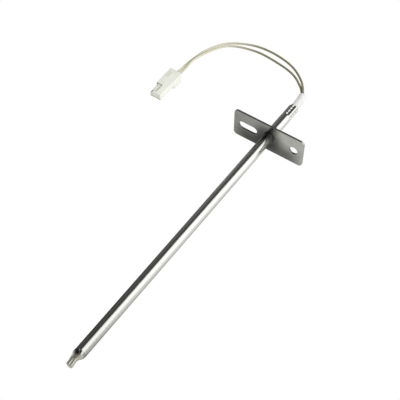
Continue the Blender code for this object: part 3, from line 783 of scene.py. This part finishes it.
def carved(start, steps):
    """One mesh from a block and a row of Boolean steps, in metres in the row frame."""
    for operation, tool in steps:
        modifier = start.modifiers.new("cut", "BOOLEAN")
        modifier.object = tool
        modifier.operation = operation
        modifier.solver = "EXACT"
    bpy.context.view_layer.update()
    depsgraph = bpy.context.evaluated_depsgraph_get()
    mesh = bpy.data.meshes.new_from_object(start.evaluated_get(depsgraph))
    for obj in [start] + [tool for _, tool in steps]:
        bpy.data.objects.remove(obj, do_unlink=True)
    bm = bmesh.new()
    bm.from_mesh(mesh)
    bpy.data.meshes.remove(mesh)
    bmesh.ops.scale(bm, vec=(MM, MM, MM), verts=bm.verts)
    bmesh.ops.translate(bm, vec=CONNECTOR, verts=bm.verts)
    bmesh.ops.dissolve_limit(bm, angle_limit=math.radians(0.5), verts=bm.verts, edges=bm.edges)
    return bm


def housing():
    """Rear body with a band round its end, keyed nose, cavities, the latch's recess and a shallow
    panel."""
    band = block((-4.6, 20.6, 0.0), (4.6, BODY_END, 6.4), 0.6)
    nose = block((-NOSE_SIDE, 0.0, NOSE_BOTTOM), (NOSE_SIDE, NOSE_LENGTH + 2.0, NOSE_TOP), 0.3)
    rear_corner = ((2.6, BODY_END + 1), (5.6, BODY_END + 1), (5.6, BODY_END - 3.0))
    key = (
        (KEY_SIDE, KEY_FOOT), (KEY_X, KEY_FOOT), (KEY_X, NOSE_TOP - CHAMFER),
        (KEY_X + CHAMFER + 1, NOSE_TOP + 1), (KEY_SIDE, NOSE_TOP + 1),
    )
    lower_corner = ((KEY_SIDE, 4.0), (KEY_SIDE, KEY_FOOT), (-1.4, KEY_FOOT))
    steps = [
        ("UNION", band), ("UNION", nose),
        ("DIFFERENCE", prism(rear_corner, -1, 8, 2)), ("DIFFERENCE", block(*PANEL, 0.15)),
    ]
    for x in (-CAVITY_X, CAVITY_X):
        cavity = block(
            (x - CAVITY_SIDE, 1.2, CAVITY_BOTTOM), (x + CAVITY_SIDE, BODY_END + 1.0, CAVITY_TOP),
        )
        mouth = block((x - 1.05, -1.0, LIP_TOP), (x + 1.05, 1.3, 4.15))
        steps += [("DIFFERENCE", cavity), ("DIFFERENCE", mouth)]
    steps += [
        ("DIFFERENCE", prism(key, -1.0, KEY_END)),
        ("DIFFERENCE", prism(lower_corner, -1.0, NOSE_LENGTH - 0.4)),
        ("DIFFERENCE", block(*RECESS)),
    ]
    bm = carved(block((-4.5, NOSE_LENGTH, 0.0), (4.5, BODY_END - 1.0, 6.3), 0.55), steps)
    # Cut the front at the lip's top, so that the painted shade under the lip has faces of its own
    level = CONNECTOR + Vector((0, 0, LIP_TOP * MM))
    everything = bm.verts[:] + bm.edges[:] + bm.faces[:]
    bmesh.ops.bisect_plane(bm, geom=everything, plane_co=level, plane_no=(0, 0, 1))
    for face in bm.faces:
        face.material_index = nylon_slot(face)
    # The shell's nylon and copies of it: painted shade on the panel, the edges and the latch's
    # recess, and a stronger painted glow in the cavities
    finishes = [
        nylon("natural_nylon", (0.8, 0.82, 0.73), (0.87, 0.88, 0.8)),
        nylon("natural_nylon_panel_painted_shade", (0.73, 0.76, 0.63), (0.79, 0.82, 0.69)),
        nylon("natural_nylon_painted_shade", (0.2, 0.21, 0.13), (0.28, 0.3, 0.2), 0.0),
        nylon("natural_nylon_inside_painted_glow", (0.68, 0.71, 0.58), (0.78, 0.8, 0.68), 0.3),
        nylon("natural_nylon_recess_painted_shade", (0.46, 0.48, 0.31), (0.56, 0.58, 0.4), 0.08),
    ]
    shell = add_mesh("nylon_housing", bm, "probe", finishes, 35)
    ease(shell, 0.1 * MM, 2, 40)
    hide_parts("connector_housing")
    return shell


def nylon_slot(face):
    """Which nylon a face shows: the shell's own, or a copy of it with painted shade (PANELLED,
    RECESSED, and SHADED for faces that light hardly reaches, under an edge) or a stronger painted
    glow (INSIDE).
    """
    x, y, z = (face.calc_center_median_weighted() - CONNECTOR) / MM
    normal = face.normal
    in_a_cavity = (
        CAVITY_BOTTOM - LEVEL < z < CAVITY_TOP + LEVEL
        and abs(abs(x) - CAVITY_X) < CAVITY_SIDE + LEVEL and abs(normal.y) < 0.5
    )
    (_, front, floor_z), (right, rear, _) = RECESS
    in_the_recess = (
        -NOSE_SIDE - NEAR < x < right + NEAR and front - NEAR < y < rear + NEAR
        and z > floor_z - LEVEL and (normal.z < 0.5 or z < floor_z + LEVEL)
    )
    under_the_lip = y < 0.35 and z < LIP_TOP
    on_the_chamfer = normal.x < -0.4 and normal.z > 0.4 and y < KEY_END
    (_, front, floor_z), (right, rear, _) = PANEL
    on_the_panel = (
        x < right + NEAR and front - NEAR < y < rear + NEAR
        and abs(z - floor_z) < NEAR and normal.z > 0.5
    )
    if in_a_cavity:
        return INSIDE
    if in_the_recess:
        return RECESSED
    if under_the_lip or on_the_chamfer:
        return SHADED
    return PANELLED if on_the_panel else SHELL


def latch():
    """The CAD latch arm's shape, with its edges eased."""
    bm = bmesh.new()
    bm.from_mesh(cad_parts["connector_latch"].data)
    bmesh.ops.remove_doubles(bm, verts=bm.verts, dist=0.001 * MM)
    flat = math.radians(0.5)
    bmesh.ops.dissolve_limit(bm, angle_limit=flat, verts=bm.verts, edges=bm.edges)
    finishes = [nylon("natural_nylon_latch", (0.68, 0.71, 0.61), (0.76, 0.78, 0.68))]
    arm = add_mesh("latch_arm", bm, "latch", finishes)
    ease(arm, 0.1 * MM, 2, 30)
    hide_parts("connector_latch")
    return arm


# ---------------------------------------------------------------- the rest of the CAD nodes

def dress(names, made):
    """Give CAD nodes a better material, on the slots that they have."""
    for name in names:
        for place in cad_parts[name].material_slots:
            place.material = made


def both(name):
    """The two of a pair of nodes, one on each wire."""
    return [f"{name}_a", f"{name}_b"]


# ---------------------------------------------------------------- light and floor

# Light round the tube's axis: degrees from straight up towards +X, and how bright it is there
STRIPS = (
    (-180, 0.12), (-160, 0.05), (-100, 0.05), (-60, 0.085), (-30, 0.085), (-14, 0.065), (0, 0.03),
    (11, 1.15), (30, 1.6), (66, 1.5), (86, 1.08), (98, 0.98), (113, 0.9), (130, 0.76), (152, 0.7),
    (172, 0.3),
)
STRIPS_MOST = 2.0

# Directions by their Y, where the strips turn and narrow: beside the probe, and further back
SIDE_Y = (0.31, 0.36)
BACK_Y = (0.54, 0.575)


def floor():
    """A plain white floor, lit evenly from within and seen by the camera only, so that it shows no
    shadow and lights nothing."""
    bm = bmesh.new()
    bmesh.ops.create_grid(bm, x_segments=2, y_segments=2, size=6.0)
    mesh = bpy.data.meshes.new("floor")
    bm.to_mesh(mesh)
    bm.free()
    made = bpy.data.materials.new("white_floor")
    made.use_nodes = True
    tree = made.node_tree
    tree.nodes.clear()
    glow = node(tree, "Emission", {"Color": (1, 1, 1, 1), "Strength": 1.0})
    node(tree, "OutputMaterial", {"Surface": glow.outputs[0]})
    mesh.materials.append(made)
    obj = bpy.data.objects.new("floor", mesh)
    obj.location = (0, 0, -0.0002)
    bpy.context.scene.collection.objects.link(obj)
    for rays in ("visible_glossy", "visible_diffuse", "visible_transmission", "visible_shadow"):
        setattr(obj, rays, False)


def strip_lights(tree, turned):
    """Long strips of light and dark beside the probe, by the angle round its axis. A ramp holds no
    more than 1, so it holds a share of the brightest."""
    share = ranged(tree, turned, -math.pi, math.pi, 0.0, 1.0, "LINEAR")
    strips = node(tree, "ValToRGB", {"Fac": share})
    ramp = strips.color_ramp
    while len(ramp.elements) < len(STRIPS):
        ramp.elements.new(0.5)
    for stop, (degrees, value) in zip(ramp.elements, STRIPS):
        stop.position = (degrees + 180) / 360
        stop.color = (*[value / STRIPS_MOST] * 3, 1)
    return times(tree, strips.outputs["Color"], STRIPS_MOST)


def behind_the_plate(tree, x, y, z):
    """The side that the wires leave by, with the strips: dark to the left, one long soft light to
    the right. The strips turn, dim and narrow a little with direction."""
    angle = node(tree, "Math", {0: x, 1: z}, operation="ARCTAN2").outputs[0]
    early = ranged(tree, y, *SIDE_Y, 0.15, 0.0)
    late = ranged(tree, y, *BACK_Y, 0.0, -0.27)
    turned = calc(tree, angle, calc(tree, early, late))
    light = strip_lights(tree, turned)
    light = times(tree, light, ranged(tree, y, 0.25, 0.5, 0.75, 1.0, "LINEAR"))
    narrow = times(
        tree, ranged(tree, y, *SIDE_Y, 0.4, 0.0), ranged(tree, turned, 1.0, 1.4, 0.0, 1.0),
    )
    light = times(tree, light, calc(tree, 1.0, narrow, "SUBTRACT"))
    left = ranged(tree, angle, math.radians(-70), math.radians(-25), 0.13, 0.0)
    return calc(tree, light, times(tree, ranged(tree, y, 0.34, 0.6, 0.0, 1.0), left))


def before_the_point(tree, x, y, z):
    """The side that the probe points to: even below, and above dark to the left and brighter to
    the right."""
    light = times(
        tree, ranged(tree, x, -0.25, 0.4, 0.0, 0.34), ranged(tree, y, -0.48, -0.38, 0.0, 1.0),
    )
    light = calc(tree, light, ranged(tree, x, -0.3, 0.0, 0.02, 0.08))
    light = calc(tree, light, ranged(tree, x, 0.5, 0.8, 0.0, 0.4))
    return between(tree, ranged(tree, z, -0.35, 0.0, 0, 1), 0.62, light)


def light_card(tree, x, y):
    """A white card far to the left, for the point's bright edge."""
    return times(tree, ranged(tree, x, -0.96, -0.8, 0.9, 0.0), ranged(tree, y, 0.1, 0.28, 1.0, 0.0))


def surroundings():
    """A studio round the probe, by direction: strips behind the plate and a plainer side before the
    point, mixed where the two meet, with some of the strips' light straight ahead of the point too.
    Matt surfaces get one soft light that grows to the right, and the camera sees white."""
    world = bpy.data.worlds.new("studio")
    bpy.context.scene.world = world
    world.use_nodes = True
    tree = world.node_tree
    tree.nodes.clear()
    x, y, z = separate(tree, "Generated")
    behind = behind_the_plate(tree, x, y, z)
    before = before_the_point(tree, x, y, z)
    straight_ahead = times(
        tree, ranged(tree, y, -0.7, -0.62, 0.8, 0.0), ranged(tree, z, -0.25, 0.0, 0.0, 1.0),
    )
    share = calc(tree, ranged(tree, y, -0.12, 0.12, 0.0, 1.0), straight_ahead)
    light = calc(tree, between(tree, share, before, behind), light_card(tree, x, y))
    rays = node(tree, "LightPath").outputs
    soft = ranged(tree, x, -1.0, 1.0, 0.28, 0.66, "LINEAR")
    light = between(tree, rays["Is Diffuse Ray"], light, soft)
    shown = between(tree, rays["Is Camera Ray"], light, 1.0)
    glow = node(tree, "Background", {"Color": (1, 1, 1, 1), "Strength": shown})
    node(tree, "OutputWorld", {"Surface": glow.outputs[0]})


def lamp(name, place, target, size, power):
    data = bpy.data.lights.new(name, "AREA")
    data.shape = "RECTANGLE"
    data.size, data.size_y = size
    data.energy = power
    obj = bpy.data.objects.new(name, data)
    obj.location = place
    obj.rotation_mode = "QUATERNION"
    obj.rotation_quaternion = (Vector(target) - Vector(place)).to_track_quat("-Z", "Y")
    obj.visible_glossy = False
    bpy.context.scene.collection.objects.link(obj)


# ---------------------------------------------------------------- the whole

def main():
    camera()
    braid = glass_braid()
    wire_a, path_a, length_a = braided_wire("a", ROUTE_A, braid)
    wire_b, path_b, length_b = braided_wire("b", ROUTE_B, braid)
    sheath()
    flange()
    collar()
    gland = sleeve()
    shell = housing()
    arm = latch()
    dress(["sensing_element", "tip_packing", "ceramic_spacer"], fired_ceramic())
    dress(both("splice_sleeve"), woven_sleeving())
    dress(both("inner_lead"), glass_fibre_plain())
    nickel = plated("nickel_plate", (0.5, 0.48, 0.44), (0.7, 0.68, 0.63), 0.3)
    for name in ("element_lead", "splice_barrel", "conductor_front", "conductor_rear"):
        dress(both(name), nickel)
    contact = plated("tinned_brass_contact", (0.6, 0.55, 0.42), (0.78, 0.74, 0.62), 0.28)
    dress(both("terminal"), contact)
    floor()
    surroundings()
    lamp("key", (0.66, 0.22, 0.55), (-0.03, 0.08, 0), (0.3, 0.3), 3.5)
    lamp("front", (0.1, -0.6, 0.35), (-0.05, 0.07, 0), (0.5, 0.4), 1.0)
    bpy.context.scene.view_settings.view_transform = "Standard"


main()
